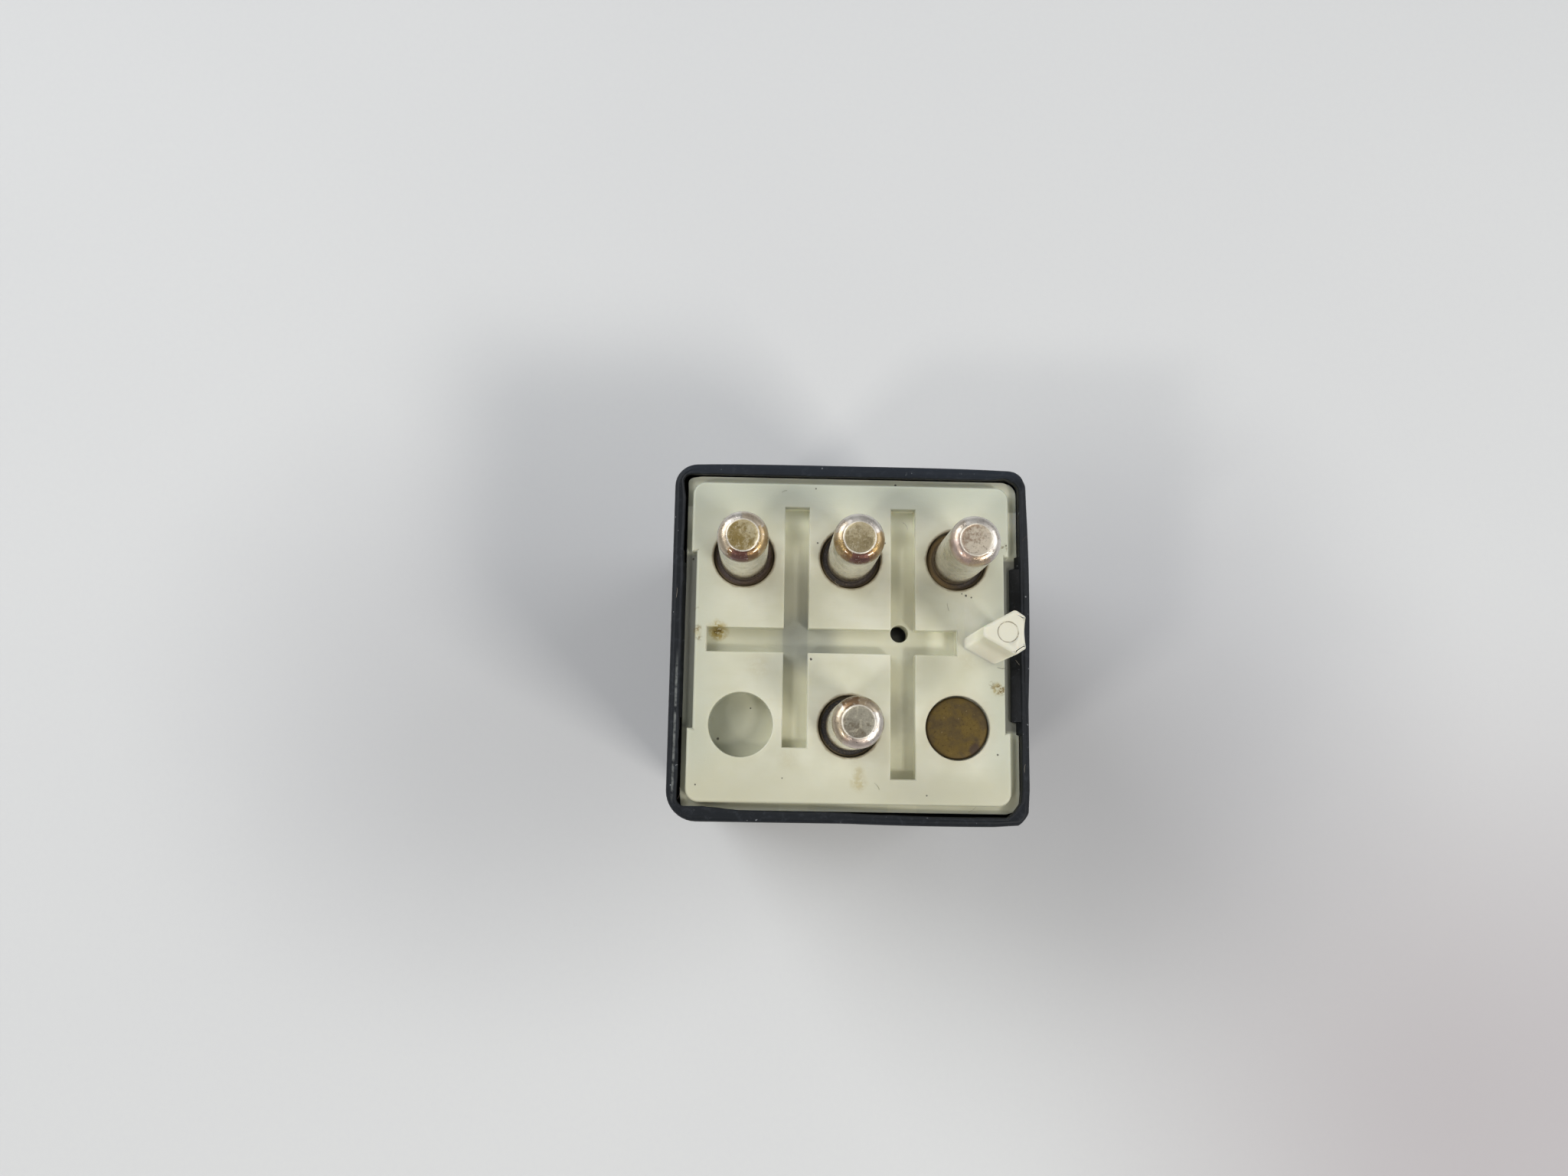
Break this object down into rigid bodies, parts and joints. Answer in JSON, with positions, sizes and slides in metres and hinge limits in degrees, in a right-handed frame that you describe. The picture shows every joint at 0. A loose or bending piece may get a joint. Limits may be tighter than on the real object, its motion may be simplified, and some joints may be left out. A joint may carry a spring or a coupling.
{
  "type": "automotive relay",
  "caption": "Square plug-in relay with round contact pins and a key lug; a deep cover encloses a coil, hinged armature and switching contact.",
  "frame": {"origin": "middle of the closed end of the cover, on the surface that the relay stands on", "axes": "+Z from the closed end towards the contact pins; +X towards the key lug; +Y towards the row of three pins"},
  "size_m": [0.03, 0.03, 0.0492],
  "materials": {
    "cover_plastic": "moulded black plastic, slightly scuffed",
    "base_plastic": "translucent ivory moulding",
    "plated_pin": "silver plating with tarnish",
    "tarnished_brass": "dull tarnished brass",
    "plated_iron": "zinc plated iron",
    "bobbin_plastic": "natural nylon",
    "enamelled_copper": "enamelled copper wire",
    "strap_brass": "bare brass strip",
    "resistor_coat": "lacquered body with tinned leads",
    "braid_copper": "bare copper braid",
    "contact_silver": "silver alloy",
    "spring_steel": "drawn spring wire",
    "blade_bronze": "rolled spring bronze"
  },
  "bodies": {
    "housing": {"cover": "cover_plastic", "base": "base_plastic", "coil_pin_left": "plated_pin", "coil_pin_right": "plated_pin", "supply_pin": "plated_pin", "load_pin": "plated_pin", "stop_rivet": "tarnished_brass", "yoke": "plated_iron", "core": "plated_iron", "bobbin": "bobbin_plastic", "coil_winding": "enamelled_copper", "coil_strap_left": "strap_brass", "coil_strap_right": "strap_brass", "lead_wire_left": "enamelled_copper", "lead_wire_right": "enamelled_copper", "resistor": "resistor_coat", "supply_strap": "strap_brass", "braid": "braid_copper", "load_bracket": "strap_brass", "fixed_contact": "contact_silver", "stop_bracket": "plated_iron", "return_spring": "spring_steel"},
    "armature": {"armature": "plated_iron", "contact_blade": "blade_bronze", "blade_rivets": "plated_iron", "moving_contact": "contact_silver"}
  },
  "joints": [
    {"name": "armature_hinge", "type": "hinge", "parent": "housing", "child": "armature", "pos_m": [0, 0.0117, 0.0086], "axis": [1, 0, 0], "range_deg": [-2.5, 0], "stiffness_Nm_per_rad": 0.03, "springref_deg": 5.73, "deforming": ["return_spring", "braid"]}
  ]
}
